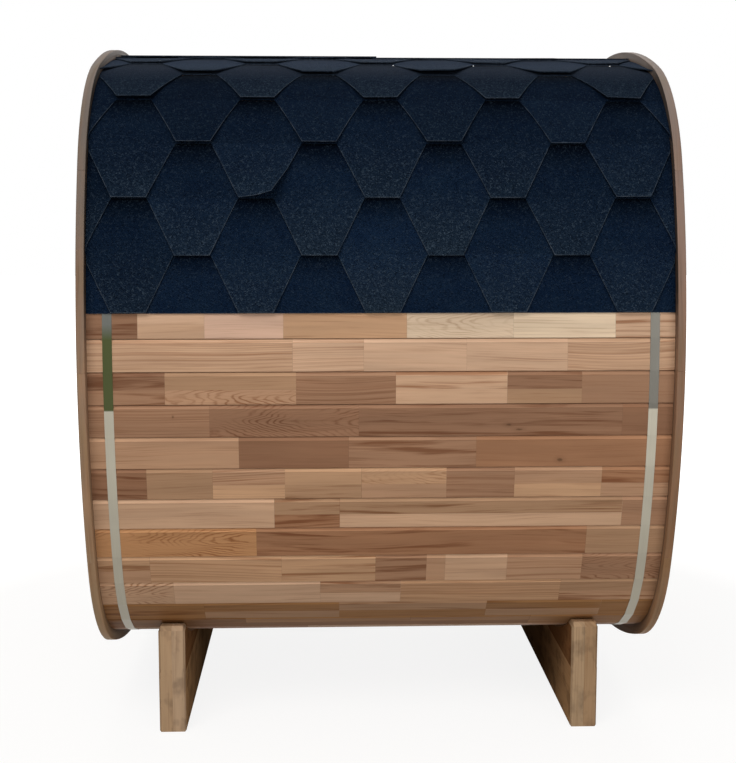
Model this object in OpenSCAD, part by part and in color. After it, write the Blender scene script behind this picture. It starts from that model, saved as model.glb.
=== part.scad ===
// Cube sauna: a rounded-square barrel of cedar staves on two cradles.
// Millimetres. X runs along the staves, Y across the cabin, Z up from the ground.

/* [Cabin] */
// Overall length over the two end rims
cabin_length = 1600; // [1400:10:2400]
// Width and height over the rims
cabin_width = 1850; // [1650:10:2100]
// Bow radius of the flat-looking sides, roof and floor, over the rims
side_radius = 1730; // [1500:10:2400]
// Radius of the four corners, over the rims
corner_radius = 435; // [360:5:520]
// Height of the lowest staves above the ground
belly_height = 171; // [150:1:300]

/* [Staves] */
// Thickness of a stave
stave_thick = 38; // [30:1:50]
// Staves in each quarter of the barrel
staves_per_quarter = 17; // [15:1:20]

/* [Rims] */
// Thickness of an end rim along the cabin
rim_thick = 22; // [16:1:30]
// How far a rim stands out past the staves
rim_proud = 30; // [20:1:40]
// Depth of a rim from its outer to its inner edge
rim_depth = 95; // [80:1:120]
// Open butt joint between two sawn pieces of a rim
rim_joint = 1; // [0.5:0.5:3]

/* [Roofing] */
// Thickness of the shingle courses with their underlay
shingle_thick = 14; // [8:1:20]
// Staves that stay bare between the roofing and mid height
bare_staves = 1.72; // [0.5:0.02:4]

/* [Bands] */
// Width of a steel band
band_width = 25; // [16:1:40]
// Thickness of a steel band
band_thick = 1; // [0.8:0.1:2]
// Distance of a band's middle from the end of the cabin
band_inset = 76; // [50:1:140]

/* [Ends] */
// Thickness of an end wall
end_thick = 38; // [28:1:50]
// Clear width of the doorway
door_width = 640; // [560:10:760]
// Height of the doorway's sill above the bottom staves inside
door_sill = 110; // [100:5:140]
// Height left between the doorway's head and the top staves inside
door_head = 144; // [130:2:200]
// Thickness of the door leaf
door_thick = 38; // [28:1:45]

/* [Cradles] */
// How far a cradle's ends stay inside the width of the cabin
cradle_inset = 235; // [150:5:320]
// Distance from the end of the cabin to the outer face of a cradle
cradle_end_gap = 168; // [100:2:400]
// Thickness of a cradle, two boards side by side
cradle_thick = 76; // [60:1:100]
// How far a cradle's ends reach above the lowest staves
cradle_rise = 140; // [100:5:200]
// Height of the straight lower beam above the lowest staves
beam_rise = 6; // [2:1:12]
// Length of a cradle block on top of the beam
block_length = 430; // [300:10:480]

/* [Hidden] */
$fn = 24;
half_length = cabin_length / 2;
half_width = cabin_width / 2;
centre_height = belly_height + half_width - rim_proud;
shell_half = half_length - rim_thick;
side_shift = side_radius - half_width;
arc_diff = side_radius - corner_radius;
corner_pos = (sqrt(2 * arc_diff * arc_diff - side_shift * side_shift) - side_shift) / 2;
side_angle = atan2(corner_pos, side_shift + corner_pos);
side_run = (side_radius - rim_proud) * side_angle * PI / 180;
corner_run = (corner_radius - rim_proud) * (90 - 2 * side_angle) * PI / 180;
quarter_run = 2 * side_run + corner_run;
stave_pitch = quarter_run / staves_per_quarter;
ring = 4 * staves_per_quarter;
corner_first = floor(side_run / stave_pitch);
corner_last = staves_per_quarter - corner_first;
roof_edge = staves_per_quarter - bare_staves;
deck = -rim_proud;
inner = deck - stave_thick;
band_x = half_length - band_inset;
end_in = band_x - end_thick / 2;
door_half = door_width / 2;
door_z0 = centre_height - half_width - inner + door_sill;
door_z1 = centre_height + half_width + inner - door_head;
end_out = end_in + end_thick;
casing_width = 60;
casing_thick = 14;
leaf_gap = 3;
ledge_width = 110;
ledge_thick = 22;
ledge_inset = 160;
ledge_side = 30;
handle_length = 320;
handle_width = 28;
handle_thick = 20;
handle_reach = 46;
handle_foot = 30;
handle_inset = 70;
hinge_height = 90;
hinge_inset = 330;
cradle_out = half_length - cradle_end_gap;
cradle_half = half_width - cradle_inset;
beam_top = belly_height + beam_rise;
cradle_top = belly_height + cradle_rise;
clear = 1;

// Direction, in degrees from straight up, of the surface at run t of a quarter.
function heading(t) =
    t < side_run ? t / side_run * side_angle :
    t < side_run + corner_run ?
        side_angle + (t - side_run) / corner_run * (90 - 2 * side_angle) :
        90 - (quarter_run - t) / side_run * side_angle;

// Point of the first quarter at run t, moved out by off from the rim's outer edge.
function quarter_point(t, off) =
    let (h = heading(t))
    t < side_run ?
        [-(side_radius + off) * sin(h), (side_radius + off) * cos(h) - side_shift] :
    t < side_run + corner_run ?
        [-corner_pos - (corner_radius + off) * sin(h),
            corner_pos + (corner_radius + off) * cos(h)] :
        [side_shift - (side_radius + off) * sin(h), (side_radius + off) * cos(h)];

function turn(p, n) =
    n == 0 ? p : turn([-p[1], p[0]], n - 1);

// Point at station k, counted in staves from the top towards -Y.
function station(k, off) =
    let (m = k - ring * floor(k / ring), n = floor(m / staves_per_quarter))
    turn(quarter_point((m - n * staves_per_quarter) * stave_pitch, off), n);

// Stations from a to b at every stave joint between them.
function stops(a, b) =
    concat([a], [for (k = [floor(a) + 1 : ceil(b) - 1]) k], [b]);

function strip(a, b, out, in) =
    concat([for (k = stops(a, b)) station(k, out)],
        [for (k = stops(-b, -a)) station(-k, in)]);

function loop(off) = [for (k = [0 : ring - 1]) station(k, off)];

function fine_strip(a, b, step, out, in) =
    let (n = ceil((b - a) / step))
    concat([for (i = [0 : n]) station(a + (b - a) * i / n, out)],
        [for (i = [0 : n]) station(b - (b - a) * i / n, in)]);

// Extrudes a Y-Z outline along X from x0 to x1, centred on the barrel.
module along(x0, x1) {
    translate([x0, 0, centre_height])
        rotate([90, 0, 90])
            linear_extrude(height = x1 - x0)
                children();
}

module block(x0, x1, y0, y1, z0, z1) {
    translate([x0, y0, z0])
        cube([x1 - x0, y1 - y0, z1 - z0]);
}

module staves(a, b) {
    color([0.72, 0.52, 0.36])
        along(-shell_half, shell_half)
            polygon(strip(a, b, deck, inner));
}

module shell_top() {
    staves(-corner_first, corner_first);
}

module corner_top_near() {
    staves(corner_first, corner_last);
}

module wall_near() {
    staves(corner_last, 2 * staves_per_quarter - corner_last);
}

module corner_bottom_near() {
    staves(2 * staves_per_quarter - corner_last, 2 * staves_per_quarter - corner_first);
}

module shell_bottom() {
    staves(2 * staves_per_quarter - corner_first, 2 * staves_per_quarter + corner_first);
}

module corner_bottom_far() {
    staves(2 * staves_per_quarter + corner_first, 2 * staves_per_quarter + corner_last);
}

module wall_far() {
    staves(2 * staves_per_quarter + corner_last, 4 * staves_per_quarter - corner_last);
}

module corner_top_far() {
    staves(-corner_last, -corner_first);
}

// Roofing: one skin each for the top and the two sides, lying over the bands.
module roofing(a, b) {
    color([0.10, 0.12, 0.17])
        along(-shell_half, shell_half)
            polygon(strip(a, b, deck + band_thick + shingle_thick, deck + band_thick));
}

module shingles_top() {
    roofing(-corner_last, corner_last);
}

module shingles_near() {
    roofing(corner_last, roof_edge);
}

module shingles_far() {
    roofing(-roof_edge, -corner_last);
}

module band(side) {
    color([0.78, 0.78, 0.75])
        along(side * band_x - band_width / 2, side * band_x + band_width / 2)
            difference() {
                polygon(loop(deck + band_thick));
                polygon(loop(deck));
            }
}

module band_left() {
    band(-1);
}

module band_right() {
    band(1);
}

// One sawn piece of an end rim between stations a and b.
module rim_piece(side, a, b) {
    joint = rim_joint / 2 / stave_pitch;
    color([0.60, 0.42, 0.29])
        along(side > 0 ? shell_half : -half_length, side > 0 ? half_length : -shell_half)
            polygon(fine_strip(a + joint, b - joint, 0.5, 0, -rim_depth));
}

module rim_sides(side) {
    for (n = [0 : 3]) {
        rim_piece(side, n * staves_per_quarter - corner_first, n * staves_per_quarter);
        rim_piece(side, n * staves_per_quarter, n * staves_per_quarter + corner_first);
    }
}

module rim_corners(side) {
    for (n = [0 : 3])
        rim_piece(side, n * staves_per_quarter + corner_first,
            n * staves_per_quarter + corner_last);
}

module rim_left_sides() {
    rim_sides(-1);
}

module rim_left_corners() {
    rim_corners(-1);
}

module rim_right_sides() {
    rim_sides(1);
}

module rim_right_corners() {
    rim_corners(1);
}

module end_left() {
    color([0.70, 0.50, 0.34])
        along(-end_in - end_thick, -end_in)
            polygon(loop(inner));
}

module end_right() {
    color([0.70, 0.50, 0.34])
        difference() {
            along(end_in, end_out)
                polygon(loop(inner));
            block(end_in - clear, end_out + clear,
                -door_half, door_half, door_z0, door_z1);
        }
}

// Casing that covers the edge of the doorway on the outside.
module door_frame() {
    color([0.60, 0.42, 0.29])
        difference() {
            block(end_out, end_out + casing_thick,
                -door_half - casing_width, door_half + casing_width,
                door_z0 - casing_width, door_z1 + casing_width);
            block(end_out - clear, end_out + casing_thick + clear,
                -door_half, door_half, door_z0, door_z1);
        }
}

module door_leaf() {
    color([0.74, 0.55, 0.38])
        block(end_out - door_thick, end_out,
            -door_half + leaf_gap, door_half - leaf_gap,
            door_z0 + leaf_gap, door_z1 - leaf_gap);
}

module door_ledges() {
    color([0.66, 0.47, 0.32])
        for (z = [door_z0 + ledge_inset, door_z1 - ledge_inset - ledge_width])
            block(end_out, end_out + ledge_thick,
                -door_half + ledge_side, door_half - ledge_side, z, z + ledge_width);
}

module door_handle() {
    y0 = -door_half + handle_inset;
    y1 = y0 + handle_width;
    z0 = (door_z0 + door_z1 - handle_length) / 2;
    z1 = z0 + handle_length;
    color([0.50, 0.34, 0.22])
        union() {
            block(end_out, end_out + handle_reach, y0, y1, z0, z0 + handle_foot);
            block(end_out, end_out + handle_reach, y0, y1, z1 - handle_foot, z1);
            block(end_out + handle_reach - handle_thick, end_out + handle_reach,
                y0, y1, z0, z1);
        }
}

module door_hinges() {
    color([0.75, 0.75, 0.73])
        for (z = [door_z0 + hinge_inset, door_z1 - hinge_inset - hinge_height])
            block(end_out - door_thick / 2, end_out,
                door_half - leaf_gap, door_half, z, z + hinge_height);
}

// One cradle's timber from z0 to z1, trimmed to the round of the barrel.
module timber(side, y0, y1, z0, z1) {
    x0 = side > 0 ? cradle_out - cradle_thick : -cradle_out;
    color([0.58, 0.43, 0.30])
        difference() {
            block(x0, x0 + cradle_thick, y0, y1, z0, z1);
            along(x0 - clear, x0 + cradle_thick + clear)
                polygon(loop(deck));
        }
}

module beam(side) {
    timber(side, -cradle_half, cradle_half, 0, beam_top);
}

module blocks(side) {
    timber(side, -cradle_half, -cradle_half + block_length, beam_top, cradle_top);
    timber(side, cradle_half - block_length, cradle_half, beam_top, cradle_top);
}

module cradle_beam_left() {
    beam(-1);
}

module cradle_beam_right() {
    beam(1);
}

module cradle_blocks_left() {
    blocks(-1);
}

module cradle_blocks_right() {
    blocks(1);
}

shell_top();
corner_top_near();
wall_near();
corner_bottom_near();
shell_bottom();
corner_bottom_far();
wall_far();
corner_top_far();
shingles_top();
shingles_near();
shingles_far();
band_left();
band_right();
rim_left_sides();
rim_left_corners();
rim_right_sides();
rim_right_corners();
end_left();
end_right();
door_frame();
door_leaf();
door_ledges();
door_handle();
door_hinges();
cradle_beam_left();
cradle_beam_right();
cradle_blocks_left();
cradle_blocks_right();
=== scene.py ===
"""The looks of the cube sauna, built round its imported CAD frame.

Everything is in metres and in the part's own frame: X along the staves, Y from the near
side to the far side, Z up from the ground. "Run" is the distance along the outside of the
staves from the middle of the roof, growing down the near side and negative down the far side.
"""

import math
import random

import bpy
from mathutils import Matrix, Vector


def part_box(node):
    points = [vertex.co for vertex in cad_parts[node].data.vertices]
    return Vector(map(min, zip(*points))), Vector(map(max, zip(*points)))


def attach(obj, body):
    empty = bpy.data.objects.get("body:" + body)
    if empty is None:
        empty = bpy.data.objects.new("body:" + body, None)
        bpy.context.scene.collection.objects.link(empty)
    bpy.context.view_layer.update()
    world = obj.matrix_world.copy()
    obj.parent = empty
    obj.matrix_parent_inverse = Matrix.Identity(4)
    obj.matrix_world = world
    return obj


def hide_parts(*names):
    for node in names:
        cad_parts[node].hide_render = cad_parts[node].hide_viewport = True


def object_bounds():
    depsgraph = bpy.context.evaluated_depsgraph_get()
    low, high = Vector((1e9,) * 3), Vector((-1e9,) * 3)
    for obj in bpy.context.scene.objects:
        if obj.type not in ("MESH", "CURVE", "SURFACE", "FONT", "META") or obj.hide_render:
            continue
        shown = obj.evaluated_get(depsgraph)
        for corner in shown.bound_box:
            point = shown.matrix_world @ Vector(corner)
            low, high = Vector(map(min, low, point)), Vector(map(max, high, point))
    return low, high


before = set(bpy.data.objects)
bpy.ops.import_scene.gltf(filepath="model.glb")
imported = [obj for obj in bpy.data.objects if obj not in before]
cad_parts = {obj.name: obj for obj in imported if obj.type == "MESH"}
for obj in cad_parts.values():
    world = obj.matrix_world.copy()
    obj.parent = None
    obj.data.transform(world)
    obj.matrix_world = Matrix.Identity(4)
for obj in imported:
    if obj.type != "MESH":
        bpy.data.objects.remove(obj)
cad_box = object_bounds()

# ---- sizes

HALF_LENGTH = cad_box[1][0]
HALF_WIDTH = cad_box[1][1]
ROOF_TOP = cad_box[1][2]
CENTRE_Z = ROOF_TOP - HALF_WIDTH
SHELL_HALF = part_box("wall_near")[1].x
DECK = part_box("wall_near")[0].y + HALF_WIDTH
INNER = HALF_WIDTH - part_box("end_left")[1].y
RIM_DEPTH = 0.095
SIDE_RADIUS = 1.730
CORNER_RADIUS = 0.435
STAVES_PER_QUARTER = 17
CORNER_FIRST = 6
CORNER_LAST = 11

SIDE_SHIFT = SIDE_RADIUS - HALF_WIDTH
ARC_DIFF = SIDE_RADIUS - CORNER_RADIUS
CORNER_POS = (math.sqrt(2 * ARC_DIFF**2 - SIDE_SHIFT**2) - SIDE_SHIFT) / 2
SIDE_ANGLE = math.atan2(CORNER_POS, SIDE_SHIFT + CORNER_POS)
CORNER_ANGLE = math.pi / 2 - 2 * SIDE_ANGLE
SIDE_RUN = (SIDE_RADIUS - DECK) * SIDE_ANGLE
CORNER_RUN = (CORNER_RADIUS - DECK) * CORNER_ANGLE
QUARTER_RUN = 2 * SIDE_RUN + CORNER_RUN
PITCH = QUARTER_RUN / STAVES_PER_QUARTER
RING = 4 * STAVES_PER_QUARTER

BEVEL_WIDTH = 0.011
BEVEL_DEPTH = 0.0045
STAVE_GAP = 0.0002
GLUE_LINE = 0.54
HALF_JOINT = 0.0004
ARCH_SPACING = 0.0078

SHINGLE_THICK = 0.0032
SHINGLE_FACE = 0.0123
UNDERLAY = 0.0012
STRIP_THICK = 0.0035
LAP_EDGE = 0.004
GRANULE = 1 / 330
ROOF_HALF = SHELL_HALF - 0.001
EXPOSURE = 0.1553
TAB_PITCH = 1.0 / 3
TAB_FOOT = 0.046
TAB_SHOULDER = 0.120
FIRST_COURSE = 1.362
EAVES_CUT = 0.005
SKIN_SPLIT = 1.0
STARTER_RISE = 0.0048
RIDGE_REACH = 0.165
# Ends and rise of the two ridge strips, the left one lapped over the right one.
RIDGE_STRIPS = ((-SHELL_HALF, 0.012, 0.0150), (0.0, SHELL_HALF, 0.0112))
# Heights between which a painted sky reflection lightens the roofing towards the ridge.
SKY_SHEEN_HEIGHTS = (ROOF_TOP - 0.145, ROOF_TOP - 0.085)

BOARD_GAP = 0.0002
FIT_GAP = 0.0005
EDGE_GAP = 0.004
DOOR_GAP = 0.003
DOOR_BOARDS = 7
END_BOARDS = 18
LEDGE_WIDTH = 0.110
BLOCK_LENGTH = 0.430
BLOCK_CUT = 0.012
BLOCK_CROWN = 0.014

# ---- outline of the barrel


def clamp(value, low=0.0, high=1.0):
    return max(low, min(high, value))


def steps(start, stop, count):
    """Marks that part start to stop in count equal steps."""
    return [start + (stop - start) * i / count for i in range(count + 1)]


def quarter_spot(run, inset):
    """(y, z) from the middle of the barrel, within the quarter that starts at the roof's middle."""
    if run < SIDE_RUN:
        angle = run / (SIDE_RADIUS - DECK)
        radius = SIDE_RADIUS - inset
        return (-radius * math.sin(angle), radius * math.cos(angle) - SIDE_SHIFT)
    if run < SIDE_RUN + CORNER_RUN:
        angle = SIDE_ANGLE + (run - SIDE_RUN) / (CORNER_RADIUS - DECK)
        radius = CORNER_RADIUS - inset
        return (-CORNER_POS - radius * math.sin(angle), CORNER_POS + radius * math.cos(angle))
    y, z = quarter_spot(QUARTER_RUN - run, inset)
    return -z, -y


def spot(x, run, inset):
    """The point at run, inset from the rims' outer edge."""
    run %= 4 * QUARTER_RUN
    turns = int(run // QUARTER_RUN)
    y, z = quarter_spot(run - turns * QUARTER_RUN, inset)
    for _ in range(turns):
        y, z = -z, y
    return Vector((x, y, z + CENTRE_Z))


def run_below(distance):
    """The run of the staves under a spot at distance along the roofing's face."""
    side = SIDE_ANGLE * (SIDE_RADIUS - SHINGLE_FACE)
    corner = CORNER_ANGLE * (CORNER_RADIUS - SHINGLE_FACE)
    if distance < side:
        return distance * SIDE_RUN / side
    if distance < side + corner:
        return SIDE_RUN + (distance - side) * CORNER_RUN / corner
    return SIDE_RUN + CORNER_RUN + (distance - side - corner) * SIDE_RUN / side


def inner_half_height(y):
    """Half the clear height inside the staves at distance y from the middle."""
    run, step = 0.0, QUARTER_RUN / 2
    for _ in range(40):
        if -quarter_spot(run + step, INNER)[0] < abs(y):
            run += step
        step /= 2
    return quarter_spot(run, INNER)[1]


# ---- meshes


def placed(name, data, place=(0, 0, 0)):
    """A new object in the scene."""
    made = bpy.data.objects.new(name, data)
    made.location = place
    bpy.context.scene.collection.objects.link(made)
    return made


class Build:
    """Collects faces, each with a board map in metres, a tone and a value per corner for grime and
    wear, which on the wood also stands for painted shade in joints and on shaded faces.
    """

    def __init__(self):
        self.points, self.faces = [], []
        self.maps, self.tones, self.grime_wear_and_shade_values = [], [], []

    def point(self, p):
        self.points.append(tuple(p))
        return len(self.points) - 1

    def face(self, corners, maps, tone, grime_wear_and_shade_values):
        """tone is one tone for the face, or a list of one for each corner."""
        self.faces.append(corners)
        self.maps.extend(maps)
        self.tones.extend(tone if isinstance(tone, list) else [tone] * len(corners))
        self.grime_wear_and_shade_values.extend(grime_wear_and_shade_values)

    def loft(self, rings, along, across, tone_of, grime_wear_and_shade):
        """Skins rings of points. along and across hold the map's u and v of rings and points."""
        count = len(rings[0])
        index = [[self.point(p) for p in ring] for ring in rings]
        for i in range(len(rings) - 1):
            for j in range(count):
                k = (j + 1) % count
                tone, shift = tone_of(i, j)
                u0, u1 = along[i] + shift[0], along[i + 1] + shift[0]
                v0, v1 = across[j] + shift[1], across[j + 1] + shift[1]
                corners = (index[i][j], index[i + 1][j], index[i + 1][k], index[i][k])
                maps = ((u0, v0), (u1, v0), (u1, v1), (u0, v1))
                self.face(corners, maps, tone, (grime_wear_and_shade[j], grime_wear_and_shade[j], grime_wear_and_shade[k], grime_wear_and_shade[k]))
        for i, turn in ((0, 1), (len(rings) - 1, -1)):
            ring = index[i][::turn]
            tone, shift = tone_of(min(i, len(rings) - 2), 0)
            flat = [(p[0] + p[1] + shift[0], p[2] + shift[1]) for p in rings[i][::turn]]
            self.face(tuple(ring), flat, tone, [0.3] * count)

    def make(self, name, material, slot, sharp=20, node=None):
        """The finished piece, which replaces the node of its own name unless node says another."""
        mesh = bpy.data.meshes.new("looks_" + name)
        mesh.from_pydata(self.points, [], self.faces)
        mesh.uv_layers.new(name="board").uv.foreach_set("vector", [c for m in self.maps for c in m])
        tone = mesh.attributes.new("tone", "FLOAT_COLOR", "CORNER")
        tone.data.foreach_set("color", [c for t in self.tones for c in t])
        grime_wear_and_shade = mesh.attributes.new("grime_wear_and_shade", "FLOAT", "CORNER")
        grime_wear_and_shade.data.foreach_set("value", self.grime_wear_and_shade_values)
        mesh.validate()
        mesh.shade_smooth()
        mesh.set_sharp_from_angle(angle=math.radians(sharp))
        mesh.materials.append(material)
        piece = placed("looks_" + name, mesh)
        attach(piece, "root")
        if node != "":
            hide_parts(node or name)


def perimeter(ring):
    """Running distances along a closed ring, one more than its points."""
    marks = [0.0]
    for a, b in zip(ring, ring[1:] + ring[:1]):
        marks.append(marks[-1] + (Vector(b) - Vector(a)).length)
    return marks


def inset_outline(outline, by):
    """A convex or gently hollow outline of (a, b) points, anticlockwise, moved in by by."""
    moved = []
    for before, here, after in zip(outline[-1:] + outline[:-1], outline, outline[1:] + outline[:1]):
        d0 = (Vector(here) - Vector(before)).normalized()
        d1 = (Vector(after) - Vector(here)).normalized()
        mitre = Vector((-d0.y - d1.y, d0.x + d1.x)) / max(1 + d0.dot(d1), 0.4)
        moved.append(tuple(Vector(here) + mitre * by))
    return moved


# ---- colours and boards


def linear(red, green, blue):
    """A colour written as 0 to 255, with a fourth value that says how the grain runs."""
    return tuple((c / 255 + 0.055) ** 2.4 / 1.055**2.4 for c in (red, green, blue)) + (0.0,)


CEDAR = {
    "pale": (230, 205, 175), "cream": (215, 190, 162), "blond": (206, 169, 139),
    "rose": (208, 171, 147), "sand": (199, 161, 130), "honey": (194, 153, 118),
    "orange": (189, 139, 96), "tan": (183, 143, 112), "fawn": (171, 134, 103),
    "brown": (162, 123, 95), "rust": (159, 115, 84), "moss": (154, 111, 70),
    "umber": (148, 110, 84), "dark": (142, 103, 77), "deep": (130, 89, 51),
}
GRAIN = {"~": 0.3, "=": 0.6, "*": 1.0}
COMMON = ("blond sand sand~ honey honey= orange* tan tan* tan~ fawn~ fawn= brown brown~ rust "
          "rust* umber~ dark cream rose").split()

# The near wall's staves from the roofing down: by turns a board's right end and its wood or,
# where it is glued up of two strips, the woods of the upper and the lower one.
# A mark after a wood says how its grain runs: ~ dark streaks, = even lines, * arches.
NEAR_BOARDS = [
    (-0.645, "umber~", -0.470, "blond sand", -0.263, "rose", 0.063, "honey", 0.346, "cream*",
     0.618, "pale", 0.8, "blond~"),
    (-0.239, "sand=", -0.051, "blond=", 0.222, "blond", 0.491, "blond", 0.8, "sand="),
    (-0.576, "umber~ brown~", -0.230, "fawn tan*", 0.034, "brown=", 0.331, "sand~ sand",
     0.531, "umber~ fawn", 0.8, "brown"),
    (-0.460, "brown=", -0.064, "umber*", 0.642, "umber~", 0.8, "dark"),
    (-0.384, "tan", -0.091, "dark", 0.251, "brown~", 0.8, "rust"),
    (-0.632, "dark~", -0.456, "fawn", -0.262, "tan= honey", -0.056, "honey fawn~",
     0.173, "honey* tan", 0.357, "brown=", 0.594, "tan honey", 0.8, "rust~ tan~"),
    (-0.292, "sand", -0.115, "fawn~ rust~", 0.656, "fawn~ sand", 0.8, "brown"),
    (-0.342, "orange*", 0.563, "rust~", 0.8, "fawn"),
    (-0.636, "honey~ tan", -0.275, "honey=", -0.016, "honey~", 0.125, "brown~", 0.177, "tan",
     0.349, "sand", 0.558, "tan=", 0.8, "brown*"),
    (-0.576, "sand*", -0.169, "blond", 0.056, "tan~ blond", 0.505, "honey=", 0.8, "fawn tan~"),
    # The two lowest staves' dark moss and deep woods are partly painted shade, where the barrel
    # turns under.
    (-0.497, "moss~", -0.115, "moss~ fawn", 0.304, "fawn~ moss", 0.632, "moss~ fawn",
     0.8, "moss"),
    (-0.384, "deep~", 0.092, "moss deep", 0.439, "moss~ deep", 0.8, "moss"),
]
FIRST_NEAR = 15
# Knots in the near wall: x, z, half length and half height.
NEAR_KNOTS = ((0.478, 0.823, 0.010, 0.0065), (0.337, 0.921, 0.010, 0.0042),
              (0.365, 0.908, 0.012, 0.0034), (-0.556, 0.947, 0.0024, 0.0036))
BOARD_LENGTHS = (0.22, 0.3, 0.38, 0.5, 0.64)


def board_tone(word, dice, spread):
    """The tone that a word such as tan~ stands for."""
    colour = shaded(linear(*CEDAR[word.rstrip("~=*")]), dice.uniform(1 - spread, 1 + spread))
    return colour[:3] + (GRAIN.get(word[-1], 0.0),)


def board_shift(dice, centre):
    """A random stretch of wood, with whole metres across so that centre stays its middle."""
    return (dice.uniform(0, 60), dice.randint(1, 60) - centre)


def shaded(tone, factor):
    return tuple(c * factor for c in tone[:3]) + tone[3:]


def random_boards(dice):
    """Boards of a stave that isn't listed, written as those that are."""
    boards = []
    x = -SHELL_HALF - dice.uniform(0, 0.12)
    while x < SHELL_HALF:
        x += dice.choice(BOARD_LENGTHS) * dice.uniform(0.9, 1.1)
        words = dice.choice(COMMON)
        if dice.random() < 0.25:
            words += " " + dice.choice(COMMON)
        boards += [x, words]
    return boards


def stave(build, number, dice):
    """One stave: bevelled along its upper edge, glued up of boards end to end."""
    near = number < RING / 2
    shown = number - FIRST_NEAR
    listed = 0 <= shown < len(NEAR_BOARDS)
    boards = NEAR_BOARDS[shown] if listed else random_boards(dice)
    spread = 0.02 if listed else 0.06
    top, foot = (number, number + 1) if near else (number + 1, number)
    upper = spot(0, top * PITCH, DECK)
    lower = spot(0, foot * PITCH, DECK)
    down = (lower - upper).normalized()
    out = Vector((0, -down.z, down.y))
    if out.dot(upper - Vector((0, 0, CENTRE_Z))) < 0:
        out = -out
    width = (lower - upper).length
    # How far down the face each point lies, how deep under it, and how dark it is made: dirt, and
    # painted shade in the joint's groove and along the lower edge.
    profile = [
        (STAVE_GAP, BEVEL_DEPTH + 0.001, 1.0),
        (0.0022, BEVEL_DEPTH * 0.86, 0.1),
        (BEVEL_WIDTH, 0.0, 0.0),
        (BEVEL_WIDTH + 0.0012, 0.0, 0.3),
        (BEVEL_WIDTH + 0.0034, 0.0, 0.0),
        (width * GLUE_LINE - HALF_JOINT, 0.0, 0.0),
        (width * GLUE_LINE + HALF_JOINT, 0.0, 0.0),
        (width - 0.0040, 0.0, 0.0),
        (width - 0.0008, 0.0, 0.3),
        (width - STAVE_GAP, 0.0010, 0.9),
    ]
    section = [upper + down * along - out * deep for along, deep, _ in profile]
    section += [spot(0, foot * PITCH, INNER) - down * STAVE_GAP,
                spot(0, top * PITCH, INNER) + down * STAVE_GAP]
    grime_wear_and_shade = [dirt_and_shade for _, _, dirt_and_shade in profile] + [1.0, 1.0]
    middles = (width * 0.28, width * 0.77)
    ends = [-SHELL_HALF]
    tones = []
    for right, words in zip(boards[::2], boards[1::2]):
        pair = [board_tone(w, dice, spread) for w in words.split()]
        shift = [board_shift(dice, m) for m in (middles if len(pair) > 1 else [width / 2])]
        tones.append((pair, shift))
        if right >= SHELL_HALF:
            break
        ends += [right - HALF_JOINT, right + HALF_JOINT]
        tones.append(([shaded(pair[-1], 0.8)], shift))
    ends.append(SHELL_HALF)
    rings = [[p + Vector((x, 0, 0)) for p in section] for x in ends]

    def tone_of(i, j):
        """Sides 0 and 1 are the bevel, 5 is the glue line, and the lower strip starts at 6."""
        pair, shift = tones[i]
        second = int(j >= 6 and len(pair) > 1)
        tone = pair[second]
        if j == 5 and len(pair) > 1:
            tone = shaded(tone, 0.88)
        # The upward-facing bevel is painted lighter: a painted highlight.
        if j < 2:
            tone = shaded(tone, 1.25)
        return tone, shift[second]

    build.loft(rings, ends, perimeter(section), tone_of, grime_wear_and_shade)


# From the roof's middle down the near side and back up the far side.
STAVE_GROUPS = ("shell_top", "corner_top_near", "wall_near", "corner_bottom_near",
                "shell_bottom", "corner_bottom_far", "wall_far", "corner_top_far")


def staves(material):
    for group, name in enumerate(STAVE_GROUPS):
        dice = random.Random(group + 1)
        build = Build()
        middle = group // 2 * STAVES_PER_QUARTER
        first, last = (CORNER_FIRST, CORNER_LAST) if group % 2 else (-CORNER_FIRST, CORNER_FIRST)
        for number in range(middle + first, middle + last):
            stave(build, number % RING, dice)
        build.make(name, material, "stave_wood", 12)


# ---- end rims

# Wood of each rim by height, from the bottom of the barrel to its top.
RIM_COLOURS = {
    -1: ((186, 153, 117), (163, 128, 97), (158, 124, 98), (120, 102, 89), (114, 100, 90)),
    1: ((184, 143, 106), (142, 105, 76), (145, 109, 85), (146, 120, 106), (124, 109, 98)),
}
RIM_PLAIN = linear(158, 126, 98)


def rim_tone(side, height):
    """The tone at height over the middle, as a share of half the barrel's width."""
    tones = [linear(*colour) for colour in RIM_COLOURS[side]]
    place = clamp((height + 1) / 2) * (len(tones) - 1)
    low = min(int(place), len(tones) - 2)
    share = place - low
    return tuple(a * (1 - share) + b * share for a, b in zip(*tones[low:low + 2]))


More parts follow.
